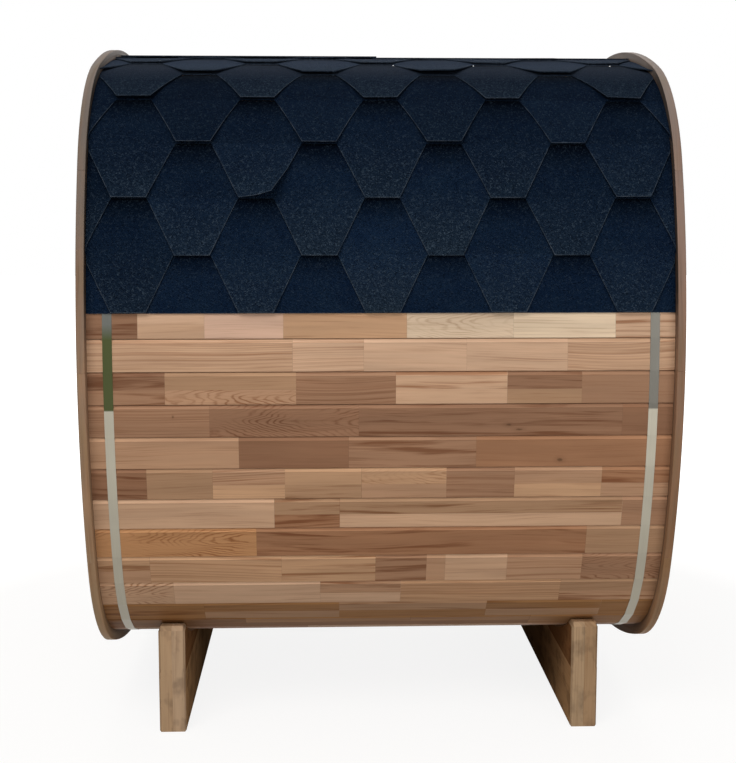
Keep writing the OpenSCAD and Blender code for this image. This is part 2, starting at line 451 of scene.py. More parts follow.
def rim_piece(build, side, first, last, dice):
    """One sawn piece of a rim, with softened outer edges."""
    near, far, soft = side * SHELL_HALF, side * HALF_LENGTH, side * 0.0025
    outline = [(near, 0.0012), (near + soft / 2, 0.0), (far - soft, 0.0), (far, 0.0025),
               (far, RIM_DEPTH - 0.0025), (far - soft, RIM_DEPTH), (near, RIM_DEPTH),
               (near, DECK), (near, DECK - 0.005), (near, DECK - 0.014)]
    # Slight darkening all round, and painted shade on the inner face next to the staves.
    grime_wear_and_shade = [0.03] * 7 + [1.0, 0.7, 0.1]
    inner_faces = (7, 8, 9) if side > 0 else (0, 1, 9)
    gap, bevel = 0.00001, 0.0007
    start, stop = first * PITCH + gap, last * PITCH - gap
    runs = steps(start, stop, max(4, round((stop - start) / 0.03)))
    runs[1:1], runs[-1:-1] = [start + bevel], [stop - bevel]
    middle = ((near + far) / 2, RIM_DEPTH / 2)
    eased = [tuple(v + math.copysign(bevel, m - v) for v, m in zip(p, middle)) for p in outline]
    shapes = [eased] + [outline] * (len(runs) - 2) + [eased]
    rings = [[spot(x, run, inset) for x, inset in shape] for run, shape in zip(runs, shapes)]
    if side < 0:
        rings = [ring[::-1] for ring in rings]
        grime_wear_and_shade.reverse()
    shade = dice.uniform(0.95, 1.05)
    shift = board_shift(dice, 0.05)

    def tone_of(i, j):
        height = (rings[i][0].z - CENTRE_Z) / HALF_WIDTH
        tone = shaded(rim_tone(side, height), shade)
        # Painted shade on the inner face: over the upper half, below the roofing's edge, and near
        # the bottom.
        if j in inner_faces:
            high = clamp(min((height - 0.05) / 0.2, (0.93 - height) / 0.06))
            low = clamp((-0.75 - height) / 0.2)
            tone = shaded(tone, 1 - 0.82 * high - 0.4 * low)
        return tone, shift

    build.loft(rings, runs, perimeter(rings[0]), tone_of, grime_wear_and_shade)


def rims(material):
    for side, word in ((-1, "left"), (1, "right")):
        dice = random.Random(50 + side)
        sides, corners = Build(), Build()
        for n in range(4):
            middle = n * STAVES_PER_QUARTER
            rim_piece(sides, side, middle - CORNER_FIRST, middle, dice)
            rim_piece(sides, side, middle, middle + CORNER_FIRST, dice)
            rim_piece(corners, side, middle + CORNER_FIRST, middle + CORNER_LAST, dice)
        for build, part in ((sides, "sides"), (corners, "corners")):
            build.make(f"rim_{word}_{part}", material, "rim_wood", 30)


# ---- shingles

SHINGLE_TONE = linear(19, 34, 53)
# From GREY_FROM up the courses take a greyer tone, partly a painted sky reflection.
SHINGLE_GREY = linear(21, 31, 45)
GREY_FROM = 4
# Of each course from the eaves up: how light it is, and how much dust and bare grit it has. The
# lightness is partly painted light: the fourth course darkened as painted shade, the sixth and up
# lightened as a painted sky reflection.
COURSE_LIGHTNESS_AND_PAINTED_LIGHT = (1.3, 1.06, 0.9, 0.8, 1.1, 2.2, 1.8, 1.4)
COURSE_DUST = (1.1, 1.1, 0.8, 0.3, 0.8, 1.6, 1.4, 1.0)
# How far below each tab's feet a painted shadow reaches, and how dark it starts.
PAINTED_SHADOW_REACH = 0.08
PAINTED_SHADOW_DARKEST = 0.12
WEAR_RUN = 0.04


class Sheet:
    """A thin sheet laid over the barrel, made of four-cornered cells in (x, run).

    sheltered is the run where what lies on it ends, where a painted shadow starts that fades down
    the sheet, and fade the two runs between which its dust grows. flip lays it down the far side.
    shift moves its granules along it.
    """

    def __init__(self, build, height, thick, tone, flip, sheltered=-1.0, fade=(-1.0, 1e9),
                 shift=0.0):
        self.build, self.height, self.thick = build, height, thick
        self.tone, self.flip, self.shift = tone, flip, shift
        self.sheltered, self.fade = sheltered, fade
        self.place, self.made, self.edges, self.cells = {}, {}, {}, []

    def key(self, x, run):
        x = clamp(x, -ROOF_HALF, ROOF_HALF)
        key = (round(x, 5), round(run, 5))
        self.place.setdefault(key, (x, run))
        return key

    def cell(self, corners, shade):
        keys = [self.key(x, run) for x, run in corners]
        lean = [k for i, k in enumerate(keys) if k != keys[i - 1]]
        if len(lean) < 3 or len({k[0] for k in lean}) < 2:
            return
        self.cells.append((lean, shade, self.tone))
        for a, b in zip(lean, lean[1:] + lean[:1]):
            self.edges[(a, b)] = shade

    def point(self, key, below):
        if (key, below) not in self.made:
            x, run = self.place[key]
            lift = self.height(x, run) - (self.thick if below else 0)
            stave_run = math.copysign(run_below(abs(run)), -run if self.flip else run)
            self.made[key, below] = self.build.point(spot(x, stave_run, DECK - lift))
        return self.made[key, below]

    def finish(self):
        free = {e: s for e, s in self.edges.items() if (e[1], e[0]) not in self.edges}
        first, last = self.fade
        worn = {k for edge in free for k in edge
                if k[1] > first + WEAR_RUN and abs(k[0]) < ROOF_HALF - 0.001}

        def wear(key):
            return 1.0 if key in worn else 0.4 * clamp((key[1] - first) / (last - first))

        def shelter(key):
            """Painted shadow: the granules darkest just below the tab above them, lighter further
            down.
            """
            return PAINTED_SHADOW_DARKEST + (1 - PAINTED_SHADOW_DARKEST) * clamp((key[1] - self.sheltered) / PAINTED_SHADOW_REACH)

        turn = -1 if self.flip else 1
        for keys, shade, base in self.cells:
            tone = [shaded(base, shade * shelter(k)) for k in keys][::turn]
            maps = [(k[0] + self.shift, k[1]) for k in keys][::turn]
            top, under = ([self.point(k, below) for k in keys][::turn] for below in (False, True))
            self.build.face(tuple(top), maps, tone, [wear(k) for k in keys][::turn])
            self.build.face(tuple(under[::-1]), maps[::-1], tone[::-1], [0] * len(keys))
        for (a, b), shade in free.items():
            corners = [self.point(*c) for c in ((b, False), (a, False), (a, True), (b, True))]
            maps = [b, a, (a[0], a[1] + 0.003), (b[0], b[1] + 0.003)]
            edge_tone = shaded(self.tone, shade * 0.5)
            self.build.face(tuple(corners[::turn]), maps, edge_tone, [0.5, 0.5, 0.0, 0.0])


def tab_columns(run, foot):
    """Distances from a tab's middle line to its columns at run."""
    share = (foot - run) / EXPOSURE
    half = TAB_FOOT + (TAB_SHOULDER - TAB_FOOT) * share
    inner = half - LAP_EDGE
    return [-half] + [inner * place for place in (-1, -0.6, -0.2, 0.2, 0.6, 1)] + [half]


# How far the tabs of each course stand off at their feet: most where the roof bends.
STIFF = (0.0012, 0.0040, 0.0095, 0.0105, 0.0080, 0.0095, 0.0030, 0.0012)
# Tabs that have lifted more: (course, tab) to (lift at left corner, at right corner).
LIFTED = {(2, -1): (0.006, 0.044), (2, 0): (0.004, 0.004), (2, 1): (0.003, 0.004),
          (2, 2): (0.013, 0.016), (3, 1): (0.003, 0.003), (4, 2): (0.011, 0.007)}
# A tab whose right corner has curled up, and how far that draws it back.
CURLED = {(2, -1): 0.009}
# Tabs from a lighter or dustier strip: (course, tab) to how light and how dusty they are.
ODD_TABS = {(0, 0): (1.25, 1.8), (1, -1): (1.15, 1.4), (1, 0): (1.2, 1.5), (1, -3): (0.7, 1.0),
            (0, -2): (0.85, 0.9), (2, 0): (1.1, 1.3), (3, -2): (0.8, 0.3), (3, -1): (0.95, 0.6)}
# Nails that show: (tab of the fifth course, distance from the tab's middle line).
NAILS = ((0, 0.050), (1, -0.050), (2, 0.018))


def course_foot(number):
    """Where a course's tabs end: the first course's are cut off at the eaves."""
    return FIRST_COURSE - number * EXPOSURE + (EAVES_CUT if number else 0)


def course(build, number, flip, dice):
    """One course: a band along the roof whose lower half is cut into tabs."""
    foot = course_foot(number)
    shoulder = foot - EXPOSURE
    top = max(foot - 2 * EXPOSURE, 0.02)
    centres = [(k + number % 2 / 2) * TAB_PITCH for k in range(-3, 4)]
    curls = {}
    for k, centre in enumerate(centres):
        lifted = not flip and LIFTED.get((number, k - 3))
        even = STIFF[number] * dice.uniform(0.7, 1.3)
        curls[centre] = lifted or (even + dice.uniform(0, 0.0015), even + dice.uniform(0, 0.0015))
    waves = [(dice.uniform(0, 6), dice.uniform(9, 16)) for _ in range(2)]

    def height(x, run):
        base = SHINGLE_THICK * (1 + (run - foot + 2 * EXPOSURE) / EXPOSURE) + UNDERLAY
        wave = sum(math.sin(x * f + p) for p, f in waves) * 0.0004
        if run <= shoulder:
            return base + wave
        centre = min(centres, key=lambda c: abs(c - x))
        left, right = curls[centre]
        share = (run - shoulder) / EXPOSURE
        across = clamp((x - centre) / TAB_FOOT, -1, 1) / 2 + 0.5
        return base + wave + (left * (1 - across) + right * across) * share**2.2

    tone = (SHINGLE_GREY if number >= GREY_FROM else SHINGLE_TONE)[:3] + (COURSE_DUST[number],)
    sheet = Sheet(build, height, SHINGLE_THICK, tone, flip, foot - 2 * EXPOSURE,
                  (shoulder - WEAR_RUN + 0.001, foot), 3.0 * number)
    slot, reach = TAB_PITCH / 2, (TAB_PITCH / 2 - TAB_SHOULDER) / 2
    offsets = tab_columns(shoulder, foot) + [slot - reach, slot, slot + reach]
    columns = sorted(c + x for c in centres for x in offsets if abs(c + x) < SHELL_HALF + 0.2)
    rows = [top, top + 0.008, top + 0.020]
    rows += steps(top + 0.032, shoulder - LAP_EDGE, 4) + [shoulder]
    odd = [(not flip and ODD_TABS.get((number, k - 3))) or (1.0, 1.0) for k in range(len(centres))]
    for a, b in zip(rows, rows[1:]):
        for x0, x1 in zip(columns, columns[1:]):
            nearest = min(range(len(centres)), key=lambda k: abs(centres[k] * 2 - x0 - x1))
            shade = COURSE_LIGHTNESS_AND_PAINTED_LIGHT[number] * 0.9 * odd[nearest][0]
            sheet.tone = tone[:3] + (tone[3] * odd[nearest][1],)
            sheet.cell([(x0, a), (x0, b), (x1, b), (x1, a)], shade)
    rows = steps(shoulder, foot - LAP_EDGE, 6) + [foot]
    for k, centre in enumerate(centres):
        shade = COURSE_LIGHTNESS_AND_PAINTED_LIGHT[number] * dice.uniform(0.88, 1.14) * odd[k][0]
        drawn = 0.0 if flip else CURLED.get((number, k - 3), 0.0)

        def curl(x, run):
            """Where a point of the tab lies, x from its middle, once its right corner curls."""
            late = max(0.0, (run - shoulder) / EXPOSURE - 0.45) / 0.55
            pull = drawn * late**1.5 * max(0.0, x / TAB_FOOT)
            return centre + x - 0.5 * pull, run - pull

        sheet.tone = tone[:3] + (tone[3] * odd[k][1],)
        for a, b in zip(rows, rows[1:]):
            upper, lower = tab_columns(a, foot), tab_columns(b, foot)
            for j in range(len(upper) - 1):
                corners = [(upper[j], a), (lower[j], b), (lower[j + 1], b), (upper[j + 1], a)]
                sheet.cell([curl(x, run) for x, run in corners], shade)
    sheet.finish()


def strip(build, x0, x1, run0, run1, rise, tone, flip=False, step=0.05, sheltered=-1.0):
    """A plain strip of roofing between two runs, its face at rise over the staves."""
    sheet = Sheet(build, lambda x, run: rise, STRIP_THICK, tone, flip, sheltered)

    def marks(low, high, pitch):
        inner = steps(low, high, max(1, round((high - low) / pitch)))[1:-1]
        return [low, low + LAP_EDGE] + inner + [high - LAP_EDGE, high]

    columns, rows = marks(x0, x1, 0.15), marks(run0, run1, step)
    for a, b in zip(rows, rows[1:]):
        for c, d in zip(columns, columns[1:]):
            sheet.cell([(c, a), (c, b), (d, b), (d, a)], 1.0)
    sheet.finish()


def nails(material):
    """Galvanised nail heads just below the feet of the seventh course's tabs."""
    build = Build()
    run = run_below(course_foot(4) - 2 * EXPOSURE + 0.010)
    dots = steps(0, 2 * math.pi, 10)[:-1]
    for tab, offset in NAILS:
        x = tab * TAB_PITCH + offset
        rings = [[spot(x + wide * math.cos(a), run + wide * math.sin(a), DECK - rise) for a in dots]
                 for wide, rise in ((0.0024, 0.0040), (0.0024, 0.0060), (0.0016, 0.0066))]
        build.loft(rings, (0, 0.002, 0.004), perimeter(rings[0]),
                   lambda i, j: (SHINGLE_TONE, (0, 0)), [0.0] * len(dots))
    build.make("roof_nails", material, "band_steel", 30, "")


def shingles(material):
    """Courses from the eaves up on both sides, split at the corner as the frame's skins are."""
    starter = shaded(SHINGLE_TONE, 1.25)
    for flip, word in ((False, "near"), (True, "far")):
        dice = random.Random(11 + flip)
        low, high = Build(), Build()
        strip(low, -SHELL_HALF, SHELL_HALF, FIRST_COURSE - EXPOSURE * 1.2, FIRST_COURSE + 0.0015,
              STARTER_RISE, starter, flip, 0.02, course_foot(1) - 0.02)
        for number in range(len(STIFF)):
            course(low if course_foot(number) > SKIN_SPLIT else high, number, flip, dice)
        low.make("shingles_" + word, material, "shingle", 35)
        high.make("shingles_upper_" + word, material, "shingle", 35, "shingles_top")
    ridge = Build()
    for x0, x1, rise in RIDGE_STRIPS:
        strip(ridge, x0, x1, -RIDGE_REACH, RIDGE_REACH, rise, shaded(SHINGLE_TONE, 1.05))
    ridge.make("ridge", material, "shingle", 35, "shingles_top")


# ---- boards of ends, door and cradles


def slab(build, outline, x0, x1, tone, shift, chamfer=0.003, upright=True, broad=None, joined=0,
         seam=None, crown=0.0):
    """A board whose outline lies across X, with its faces chamfered all round.

    broad is the tone of its two broad faces where that isn't tone. joined is -1 or 1 where
    the face at x0 or x1 is glued to another board and stays square, and so does the edge
    at the height seam. crown is how far the free broad face stops below the board's top.
    """
    inner = inset_outline(outline, chamfer)
    if crown:
        crest = max(z for _, z in outline) - crown
        inner = [(y, min(z, crest)) for y, z in inner]
    if seam is not None:
        inner = [(a[0], b[1]) if abs(b[1] - seam) < 1e-5 else a for a, b in zip(inner, outline)]
    first = outline if joined < 0 else inner
    last = outline if joined > 0 else inner
    layers = [(x0, first), (x0 + chamfer, outline), (x1 - chamfer, outline), (x1, last)]
    rings = [[Vector((x, y, z)) for y, z in shape] for x, shape in layers]
    index = [[build.point(p) for p in ring] for ring in rings]
    count = len(outline)

    def board_map(p, side, end=False):
        if end:
            return (p.z + shift[0], p.x + shift[1])
        along, over = (p.z, p.y) if upright else (p.y, p.z)
        return (along + shift[0], over + shift[1] + (p.x if side else 0))

    for i in range(3):
        square = (i == 0 and joined < 0) or (i == 2 and joined > 0)
        for j in range(count):
            k = (j + 1) % count
            corners = ((i, j), (i, k), (i + 1, k), (i + 1, j))
            end = not upright and abs(outline[j][0] - outline[k][0]) < 1e-6
            maps = [board_map(rings[a][b], True, end) for a, b in corners]
            dirt_and_shade = 0.0 if i == 1 or square else 0.3
            build.face(tuple(index[a][b] for a, b in corners), maps, tone, [dirt_and_shade] * 4)
    for i, turn in ((0, -1), (3, 1)):
        ring = list(range(count))[::turn]
        maps = [board_map(rings[i][b], False) for b in ring]
        build.face(tuple(index[i][b] for b in ring), maps, broad or tone, [0.0] * count)


def end_board_outline(y0, y1, z0, z1):
    """Outline of an upright board between y0 and y1, cut to the round of the staves."""
    reach = [(y, inner_half_height(y) - FIT_GAP) for y in steps(y0, y1, 4)]
    lower = [(y, max(z0, CENTRE_Z - high)) for y, high in reach]
    return lower + [(y, min(z1, CENTRE_Z + high)) for y, high in reach[::-1]]


def end_wall(name, material, seed, door=None):
    """Upright boards, cut round the corners of the doorway that door gives."""
    low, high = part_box(name)
    dice = random.Random(seed)
    build = Build()
    half = high.y - EDGE_GAP
    if door:
        hole_low, hole_high = door
        middle = steps(hole_low.y, hole_high.y, DOOR_BOARDS)
        count = round((half - hole_high.y) / (middle[1] - middle[0]))
        side = steps(hole_high.y, half, count)
        edges = [-y for y in side[::-1]] + middle[1:-1] + side
    else:
        edges = steps(-half, half, END_BOARDS)
    for y0, y1 in zip(edges, edges[1:]):
        spans = [(-9, 9)]
        if door and hole_low.y - 1e-6 <= y0 and y1 <= hole_high.y + 1e-6:
            spans = [(-9, hole_low.z), (hole_high.z, 9)]
        tone = board_tone(dice.choice(COMMON), dice, 0.05)
        for z0, z1 in spans:
            shift = board_shift(dice, (y0 + y1) / 2)
            outline = end_board_outline(y0 + BOARD_GAP, y1 - BOARD_GAP, z0, z1)
            slab(build, outline, low.x, high.x, tone, shift)
    build.make(name, material, "board_wood")


def rectangle(y0, y1, z0, z1):
    return [(y0, z0), (y1, z0), (y1, z1), (y0, z1)]


def door(board_wood, rim_wood):
    dice = random.Random(77)
    low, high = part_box("door_leaf")
    build = Build()
    edges = steps(low.y, high.y, DOOR_BOARDS)
    for y0, y1 in zip(edges, edges[1:]):
        tone = board_tone(dice.choice(COMMON), dice, 0.05)
        shift = board_shift(dice, (y0 + y1) / 2)
        outline = rectangle(y0 + BOARD_GAP, y1 - BOARD_GAP, low.z, high.z)
        slab(build, outline, low.x, high.x, tone, shift)
    build.make("door_leaf", board_wood, "board_wood")

    low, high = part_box("door_frame")
    hole_low, hole_high = door_hole()
    y0, y1 = hole_low.y, hole_high.y
    rail = (y0 + 2 * BOARD_GAP, y1 - 2 * BOARD_GAP)
    build = Build()
    timbers = (((low.y, y0, low.z, high.z), True), ((y1, high.y, low.z, high.z), True),
               ((*rail, hole_high.z, high.z), False), ((*rail, low.z, hole_low.z), False))
    for sides, upright in timbers:
        shift = board_shift(dice, 0)
        tone = shaded(RIM_PLAIN, dice.uniform(0.95, 1.05))
        slab(build, rectangle(*sides), low.x, high.x, tone, shift, 0.002, upright)
    build.make("door_frame", rim_wood, "rim_wood")

    low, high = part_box("door_ledges")
    build = Build()
    for z in (low.z, high.z - LEDGE_WIDTH):
        shift = board_shift(dice, z + LEDGE_WIDTH / 2)
        tone = shaded(RIM_PLAIN, dice.uniform(0.95, 1.05))
        outline = rectangle(low.y, high.y, z, z + LEDGE_WIDTH)
        slab(build, outline, low.x, high.x, tone, shift, 0.004, False)
    build.make("door_ledges", rim_wood, "rim_wood")


def door_hole():
    """Corners of the doorway, from the leaf and its gap all round."""
    low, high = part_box("door_leaf")
    gap = Vector((0, DOOR_GAP, DOOR_GAP))
    return low - gap, high + gap


CRADLE_TONES = {"left": [linear(186, 154, 121), linear(190, 160, 130)],
                "right": [linear(181, 152, 120), linear(171, 139, 106)]}
# Tones of the cradles' inner broad faces, under the barrel: darker than the fronts, the blocks'
# most, as painted shade.
CRADLE_SHADED_INSIDE = {"beam": linear(178, 140, 100), "blocks": linear(134, 95, 62)}


def belly(y):
    """Height of the staves' underside at distance y from the middle, on their flat facets."""
    bottom = 2 * STAVES_PER_QUARTER
    joints = [spot(0, k * PITCH, DECK) for k in range(bottom - CORNER_LAST, bottom + 1)]
    y = -abs(y)
    for a, b in zip(joints, joints[1:]):
        if a.y <= y <= b.y:
            return a.z + (b.z - a.z) * (y - a.y) / (b.y - a.y)
    return joints[-1].z


def trimmed(y0, y1, z0, z1, cut=0.0):
    """Outline of a cradle timber whose top is cut to the staves, and its outer corner by cut."""
    tops = [(y, min(z1, belly(y) - 0.0003)) for y in steps(y1, y0, 24)]
    if cut and abs(y0) > abs(y1):
        tops[-1:] = [(y0 + cut * 0.8, tops[-1][1]), (y0, tops[-1][1] - cut)]
    elif cut:
        tops[:1] = [(y1, tops[0][1] - cut), (y1 - cut * 0.8, tops[0][1])]
    return [(y0, z0), (y1, z0)] + tops


def cradles(material):
    """Each of two boards side by side: a beam, and blocks on it that follow the staves."""
    for word in ("left", "right"):
        dice = random.Random(len(word))
        beam_low, beam_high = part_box("cradle_beam_" + word)
        block_low, block_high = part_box("cradle_blocks_" + word)
        middle = (beam_low.x + beam_high.x) / 2
        beam, blocks = Build(), Build()
        boards = ((beam_low.x, middle - 0.0001, 1), (middle + 0.0001, beam_high.x, -1))
        for n, (x0, x1, joined) in enumerate(boards):
            tone = CRADLE_TONES[word][n]
            inside = CRADLE_SHADED_INSIDE if (n == 0) == (word == "right") else {}
            shift = board_shift(dice, 0.1)
            shape = trimmed(beam_low.y, beam_high.y, 0, beam_high.z)
            slab(beam, shape, x0, x1, tone, shift, 0.004, False, inside.get("beam"), joined,
                 beam_high.z)
            for y in (block_low.y, block_high.y - BLOCK_LENGTH):
                shape = trimmed(y, y + BLOCK_LENGTH, block_low.z, block_high.z, BLOCK_CUT)
                slab(blocks, shape, x0, x1, tone, shift, 0.006, False, inside.get("blocks"), joined,
                     block_low.z, BLOCK_CROWN)
        for build, part in ((beam, "beam"), (blocks, "blocks")):
            build.make(f"cradle_{part}_{word}", material, "cradle_wood")


# ---- materials


class Nodes:
    """A short way to write the nodes of a material or a world."""

    def __init__(self, owner, shader="Principled BSDF"):
        owner.use_nodes = True
        self.owner = owner
        self.tree = owner.node_tree
        self.shader = self.tree.nodes[shader]

    def plug(self, socket, value):
        if isinstance(value, bpy.types.NodeSocket):
            self.tree.links.new(value, socket)
        else:
            socket.default_value = value

    def add(self, kind, inputs=None, **settings):
        made = self.tree.nodes.new("ShaderNode" + kind)
        for key, value in settings.items():
            setattr(made, key, value)
        for key, value in (inputs or {}).items():
            self.plug(made.inputs[key], value)
        return made

    def math(self, operation, a, b=0.0):
        return self.add("Math", {0: a, 1: b}, operation=operation).outputs[0]

    def times(self, a, b):
        return self.math("MULTIPLY", a, b)

    def plus(self, a, b):
        return self.math("ADD", a, b)

    def mix(self, factor, a, b, blend="MIX"):
        made = self.add("Mix", {0: factor, 6: a, 7: b}, data_type="RGBA", blend_type=blend)
        return made.outputs[2]

    def tinted(self, base, colour, factor=1.0):
        """base times colour, which may be a grey level, as far as factor says."""
        return self.mix(factor, base, colour, "MULTIPLY")

    def scaled(self, vector, x, y, z=1.0):
        return self.add("Mapping", {"Vector": vector, "Scale": (x, y, z)}).outputs[0]

    def noise(self, vector, scale=1.0, detail=3.0, roughness=0.55, distortion=0.0):
        made = self.add("TexNoise", {"Vector": vector, "Scale": scale, "Detail": detail,
                                     "Roughness": roughness, "Distortion": distortion})
        return made.outputs["Fac"]

    def drawn(self, vector, x, y, detail, roughness, distortion=0.0):
        """Noise with x and y features to the metre along its two axes."""
        return self.noise(self.scaled(vector, x, y), 1, detail, roughness, distortion)

    def span(self, value, low, high, to_low=0.0, to_high=1.0):
        made = self.add("MapRange", {0: value, 1: low, 2: high, 3: to_low, 4: to_high})
        return made.outputs[0]

    def window(self, value, centre, reach):
        """1 where value is centre, falling to 0 at reach from it."""
        apart = self.math("ABSOLUTE", self.math("SUBTRACT", value, centre))
        return self.span(apart, 0.0, reach, 1.0, 0.0)

    def attribute(self, name, output="Fac"):
        return self.add("Attribute", attribute_name=name).outputs[output]

    def position(self, axis=None):
        """The place in the frame, or its coordinate along one axis."""
        place = self.add("NewGeometry").outputs["Position"]
        return place if axis is None else self.add("SeparateXYZ", {0: place}).outputs[axis]

    def direct(self):
        """1 where the camera sees it, also in a mirror, and 0 where it only gives light."""
        seen = self.add("LightPath").outputs
        return self.math("MAXIMUM", seen["Is Camera Ray"], seen["Is Glossy Ray"])

    def set(self, name, value):
        self.plug(self.shader.inputs[name], value)

    def finish(self, colour, roughness, height, strength, distance):
        """Sets the shader's colour, roughness and bump, and gives the material."""
        bump = self.add("Bump", {"Height": height, "Strength": strength, "Distance": distance})
        self.set("Base Color", colour)
        self.set("Roughness", roughness)
        self.set("Normal", bump.outputs[0])
        return self.owner


def wood(name, stain=0.0, patina=0.0, gloss=0.15, painted_belly_shade=False, knots=()):
    """Planed softwood: fibre streaks, growth rings and arches, and dirt and painted shade in the
    joints and on shaded faces.

    The flag after gloss darkens the wood towards the middle under the barrel: painted shade. knots
    are placed ones, which stand in for the scattered ones on the near wall.
    """
    n = Nodes(bpy.data.materials.new(name))
    board = n.add("UVMap", uv_map="board").outputs[0]
    tone, grain = n.attribute("tone", "Color"), n.attribute("tone", "Alpha")
    along, across = n.add("SeparateXYZ", {0: board}).outputs[:2]
    local = n.math("SUBTRACT", n.math("FRACT", n.plus(across, 0.5)), 0.5)
    sway = n.times(n.drawn(board, 1.5, 2.5, 1, 0.5), 0.06)
    sway = n.add("CombineXYZ", {1: sway}).outputs[0]
    swayed = n.add("VectorMath", {0: board, 1: sway}, operation="ADD").outputs[0]
    broad = n.drawn(swayed, 1.6, 16, 3, 0.6)
    streak = n.drawn(swayed, 3.0, 110, 4, 0.65, 0.3)
    bold = n.drawn(swayed, 2.4, 48, 3, 0.6, 0.4)
    fibre = n.drawn(swayed, 14, 900, 2, 0.6)
    fine = n.span(n.drawn(swayed, 2.6, 270, 3, 0.6, 0.25), 0.54, 0.64)
    fine = n.times(fine, n.span(n.drawn(board, 5, 22, 2, 0.5), 0.42, 0.60))
    flow = n.drawn(board, 3.0, 14, 3, 0.5)

    lines = n.span(n.drawn(swayed, 0.7, 210, 2, 0.5, 0.2), 0.47, 0.64)
    lines = n.times(lines, n.window(grain, GRAIN["="], 0.25))
    heavy = n.times(n.span(bold, 0.52, 0.65), n.window(grain, GRAIN["~"], 0.15))
    hill = n.math("SQRT", n.plus(n.times(local, local), 0.00006))
    hill = n.plus(hill, n.times(flow, 0.085))
    hill = n.plus(hill, n.times(n.drawn(board, 18, 40, 3, 0.55), 0.012))
    hill = n.math("SUBTRACT", hill, n.times(along, 0.24))
    arches = n.math("SINE", n.times(hill, 2 * math.pi / ARCH_SPACING))
    arches = n.math("POWER", n.span(arches, -1, 1), 3.5)
    patch = n.span(n.drawn(board, 4, 9, 2, 0.5), 0.42, 0.60, 0.12, 1.0)
    arches = n.times(n.times(arches, patch), n.span(grain, 0.8, GRAIN["*"]))
    dark = n.times(n.span(streak, 0.50, 0.78), 0.36)
    for figure, depth in ((n.span(fibre, 0.55, 0.9), 0.2), (fine, 0.42), (lines, 0.46),
                          (arches, 0.85), (heavy, 0.85)):
        dark = n.plus(dark, n.times(figure, depth))
    blend = n.tinted(tone, (0.50, 0.36, 0.27, 1), n.math("MINIMUM", dark, 0.9))

    knot = n.add("TexVoronoi", {"Vector": board, "Scale": 2.0}).outputs["Distance"]
    knot = n.span(knot, 0.007, 0.018, 1.0, 0.0)
    if knots:
        place = n.position()
        elsewhere = n.span(n.position(1), -0.6, -0.5)
        near_wall = n.math("SUBTRACT", 1.0, elsewhere)
        knot = n.times(knot, elsewhere)
        ragged = n.times(n.noise(n.scaled(place, 160, 0, 320), 1, 2, 0.5), 0.7)
        for x, z, reach, rise in knots:
            apart = n.add("VectorMath", {0: place, 1: (x, 0, z)}, operation="SUBTRACT").outputs[0]
            apart = n.scaled(apart, 1 / reach, 0, 1 / rise)
            apart = n.add("VectorMath", {0: apart}, operation="LENGTH").outputs["Value"]
            apart = n.plus(apart, ragged)
            core, halo = n.span(apart, 0.75, 1.35, 1.0, 0.0), n.span(apart, 1.0, 2.6, 0.3, 0.0)
            found = n.times(n.math("MAXIMUM", core, halo), near_wall)
            knot = n.math("MAXIMUM", knot, found)
    blend = n.mix(n.times(knot, 0.8), blend, (0.10, 0.045, 0.02, 1))
    blend = n.tinted(blend, n.span(broad, 0.3, 0.72, 0.90, 1.17))
    if patina:
        cover = n.span(n.drawn(board, 5, 60, 3, 0.6), 0.36, 0.62, 0.0, patina)
        blend = n.tinted(blend, (0.80, 0.92, 1.02, 1), cover)
        moss = n.span(n.drawn(board, 7, 30, 2, 0.5), 0.52, 0.66, 0.0, 0.5 * patina)
        blend = n.tinted(blend, (0.95, 0.95, 0.72, 1), moss)
    if stain:
        smudge = n.span(n.drawn(board, 11, 15, 3, 0.55), 0.50, 0.62, 0.0, stain)
        blend = n.tinted(blend, (0.46, 0.46, 0.48, 1), smudge)
    # Painted shade: darker towards the middle under the barrel.
    if painted_belly_shade:
        away = n.math("ABSOLUTE", n.position(1))
        blend = n.tinted(blend, n.span(away, 0.15, 0.66, 0.34, 1.0))
    # Dirt, and painted shade in the stave joints' grooves and on the rims' inner faces.
    dirt_and_shade = n.times(n.math("POWER", n.attribute("grime_wear_and_shade"), 1.3), 0.8)
    blend = n.mix(dirt_and_shade, blend, (0.10, 0.055, 0.03, 1))
    n.set("Specular IOR Level", gloss)
    height = n.plus(n.times(fibre, 0.4), n.times(streak, 0.6))
    return n.finish(blend, n.span(streak, 0.3, 0.8, 0.52, 0.70), height, 0.25, 0.0006)


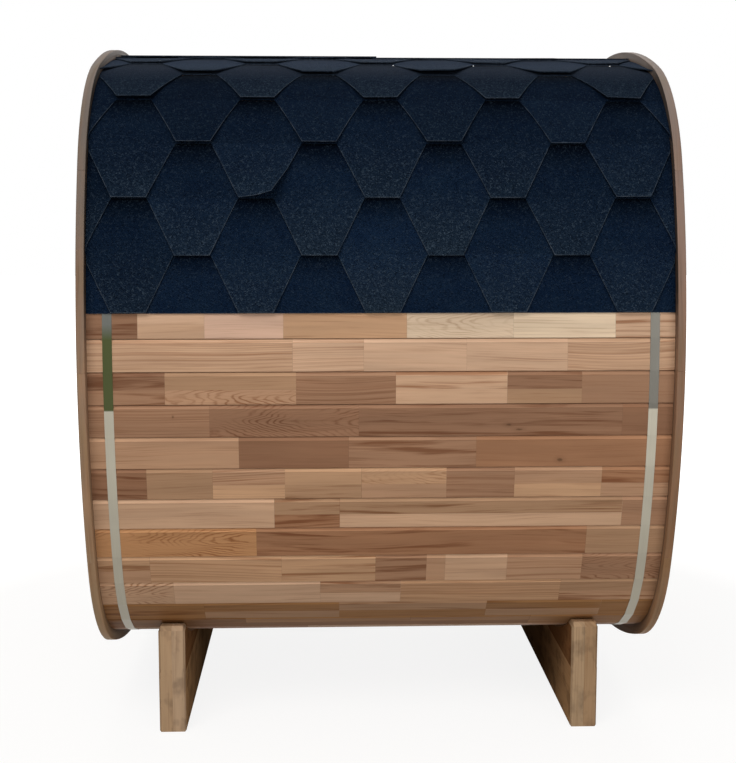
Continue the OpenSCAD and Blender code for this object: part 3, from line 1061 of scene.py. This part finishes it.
def shingle_material():
    """Mineral granules on bitumen, greyer at the tabs' feet and on worn edges, with a painted sky
    reflection near the ridge.
    """
    n = Nodes(bpy.data.materials.new("shingle_granules"))
    place = n.add("UVMap", uv_map="board").outputs[0]
    tone, dusty = n.attribute("tone", "Color"), n.attribute("tone", "Alpha")
    wear = n.attribute("grime_wear_and_shade")
    grit = n.add("TexVoronoi", {"Vector": place, "Scale": 1 / GRANULE})
    speck = n.add("SeparateColor", {0: grit.outputs["Color"]}).outputs[0]
    cluster = n.noise(place, 70, 3, 0.7)
    patch = n.noise(place, 9, 3, 0.6)
    blend = n.mix(n.span(patch, 0.3, 0.7), n.tinted(tone, (0.60, 0.68, 0.80, 1)), tone)
    dust = n.times(n.span(wear, 0.0, 0.4), dusty)
    blend = n.mix(n.times(dust, 0.45), blend, (0.016, 0.028, 0.044, 1))
    blend = n.mix(n.span(speck, 0.0, 0.30, 0.55, 0.0), blend, (0.002, 0.003, 0.006, 1))
    light = n.times(n.span(speck, 0.62, 0.92), n.span(cluster, 0.36, 0.62))
    light = n.times(light, n.span(dust, 0, 1, 0.25, 0.85))
    blend = n.mix(light, blend, (0.054, 0.080, 0.112, 1))
    ragged = n.span(n.noise(place, 30, 3), 0.34, 0.64, 0.12, 0.85)
    rub = n.times(n.span(wear, 0.55, 0.95), ragged)
    blend = n.mix(rub, blend, (0.085, 0.105, 0.132, 1))
    # Painted sky reflection: lighter and greyer high on the roof, where it is seen at a grazing
    # angle.
    painted_sky_sheen = n.times(n.span(n.position(2), *SKY_SHEEN_HEIGHTS), 0.3)
    blend = n.mix(painted_sky_sheen, blend, (0.08, 0.097, 0.13, 1))
    n.set("Specular IOR Level", 0.01)
    height = n.plus(n.times(grit.outputs["Distance"], 250.0), cluster)
    return n.finish(blend, n.span(cluster, 0.3, 0.7, 0.85, 1.0), height, 0.5, 0.0008)


def steel_material(name, bright, dark, edge_z=0.0, painted_upper_reflection=None):
    """Rolled strip steel, its colour a painted reflection: of dark surroundings above edge_z and of
    the floor below.

    The last colour, where given, is the painted reflection higher up, where that differs.
    """
    n = Nodes(bpy.data.materials.new(name))
    height = n.position(2)
    coordinates = n.add("TexCoord").outputs["Object"]
    brushed = n.noise(n.scaled(coordinates, 900, 6, 6), 1, 2, 0.6)
    cloud = n.noise(coordinates, 7, 2, 0.5)
    if painted_upper_reflection:
        dark = n.mix(n.span(height, edge_z + 0.19, edge_z + 0.23), dark, painted_upper_reflection)
    blend = n.mix(n.span(height, edge_z - 0.002, edge_z + 0.002), bright, dark)
    vary = n.plus(n.span(brushed, 0.3, 0.7, 0.93, 1.05), n.span(cloud, 0.3, 0.7, -0.06, 0.06))
    n.set("Metallic", 0.55)
    rough = n.span(brushed, 0.3, 0.7, 0.34, 0.5)
    return n.finish(n.tinted(blend, vary), rough, brushed, 0.1, 0.0002)


def plain_wood(name, colour):
    """Oiled hardwood for the handle, which has no board map."""
    n = Nodes(bpy.data.materials.new(name))
    streak = n.noise(n.scaled(n.add("TexCoord").outputs["Object"], 90, 90, 5), 1, 4, 0.6)
    blend = n.tinted(colour, (0.55, 0.55, 0.55, 1), n.span(streak, 0.35, 0.7))
    return n.finish(blend, 0.42, streak, 0.2, 0.0005)


# ---- stage, light and camera


def floor_and_world():
    """A white sweep that shows as paper and gives the part its soft shadow."""
    mesh = bpy.data.meshes.new("floor")
    far = 30.0
    mesh.from_pydata([(*p, 0) for p in rectangle(-far, far, -far, far)], [], [(0, 1, 2, 3)])
    floor = placed("floor", mesh)
    n = Nodes(bpy.data.materials.new("floor_pale"))
    n.set("Base Color", (0.42, 0.40, 0.37, 1))
    n.set("Roughness", 0.9)
    white = n.add("Emission", {"Color": (1, 1, 1, 1), "Strength": 1.45})
    away = n.add("VectorMath", {0: n.position()}, operation="LENGTH").outputs["Value"]
    share = n.times(n.direct(), n.span(away, 1.6, 4.0, 0.6, 1.0))
    mixed = n.add("MixShader", {0: share, 1: n.shader.outputs[0], 2: white.outputs[0]})
    n.plug(n.tree.nodes["Material Output"].inputs[0], mixed.outputs[0])
    mesh.materials.append(n.owner)

    world = bpy.data.worlds.new("studio")
    bpy.context.scene.world = world
    n = Nodes(world, "Background")
    n.set("Color", (1, 1, 1, 1))
    n.set("Strength", n.span(n.direct(), 0, 1, 0.22, 1.0))


def lights():
    """Broad soft lights, all turned to the middle of the barrel."""
    target = Vector((0, 0, CENTRE_Z))
    for name, place, size, power in (("key", (-2.2, -5.0, 5.2), (4.0, 3.0), 202),
                                     ("fill", (2.6, -6.0, 1.7), (3.5, 2.4), 88),
                                     ("top", (0, 0.6, 5.5), (4.0, 4.0), 70),
                                     ("back", (1.5, 5.5, 3.5), (4.0, 3.0), 45)):
        lamp = bpy.data.lights.new(name, "AREA")
        lamp.shape = "RECTANGLE"
        lamp.size, lamp.size_y = size
        lamp.energy = power
        aim = target - Vector(place)
        placed(name, lamp, place).rotation_euler = aim.to_track_quat("-Z", "Y").to_euler()


def camera():
    """Stands where the photographer's camera stood, as its perspective tells."""
    lens = bpy.data.cameras.new("camera")
    lens.sensor_width = 36.0
    lens.lens = 62.6
    lens.clip_end = 100
    holder = placed("camera", lens, (-0.162, -4.378, 1.468))
    holder.rotation_euler = (math.pi / 2 - 0.1223, 0.0, -0.0351)
    bpy.context.scene.camera = holder


# ---- everything

camera()
floor_and_world()
lights()
bpy.context.scene.view_settings.view_transform = "Standard"

rim_wood = wood("rim_weathered", patina=0.7)
board_wood = wood("cedar_boards")
staves(wood("cedar_staves", knots=NEAR_KNOTS))
rims(rim_wood)
shingles(shingle_material())
zinc = (0.75, 0.75, 0.75, 1)
nails(steel_material("nail_zinc", zinc, zinc))
end_wall("end_left", board_wood, 21)
end_wall("end_right", board_wood, 22, door_hole())
door(board_wood, rim_wood)
cradles(wood("cradle_timber", stain=0.55, gloss=0.0, painted_belly_shade=True))

# Pieces whose CAD form is dressed as it is.
# The bands' colours are painted reflections: the floor below a line under the middle, dark
# surroundings above it, on the left band a greenish one, greyer higher up; the hinges are lighter
# below 1 m the same way.
band_floor_reflection, band_reflection_edge = (0.400, 0.368, 0.293, 1), CENTRE_Z - 0.103
dressed = {
    "band_left": steel_material("band_steel_left", band_floor_reflection, (0.049, 0.060, 0.0135, 1), band_reflection_edge,
                                (0.115, 0.118, 0.105, 1)),
    "band_right": steel_material("band_steel_right", band_floor_reflection, (0.124, 0.116, 0.097, 1), band_reflection_edge),
    "door_handle": plain_wood("handle_oiled", (0.20, 0.10, 0.05, 1)),
    "door_hinges": steel_material("hinge_steel", (0.55, 0.55, 0.53, 1), (0.45, 0.45, 0.43, 1), 1.0),
}
for name, material in dressed.items():
    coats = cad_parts[name].data.materials
    coats.clear()
    coats.append(material)
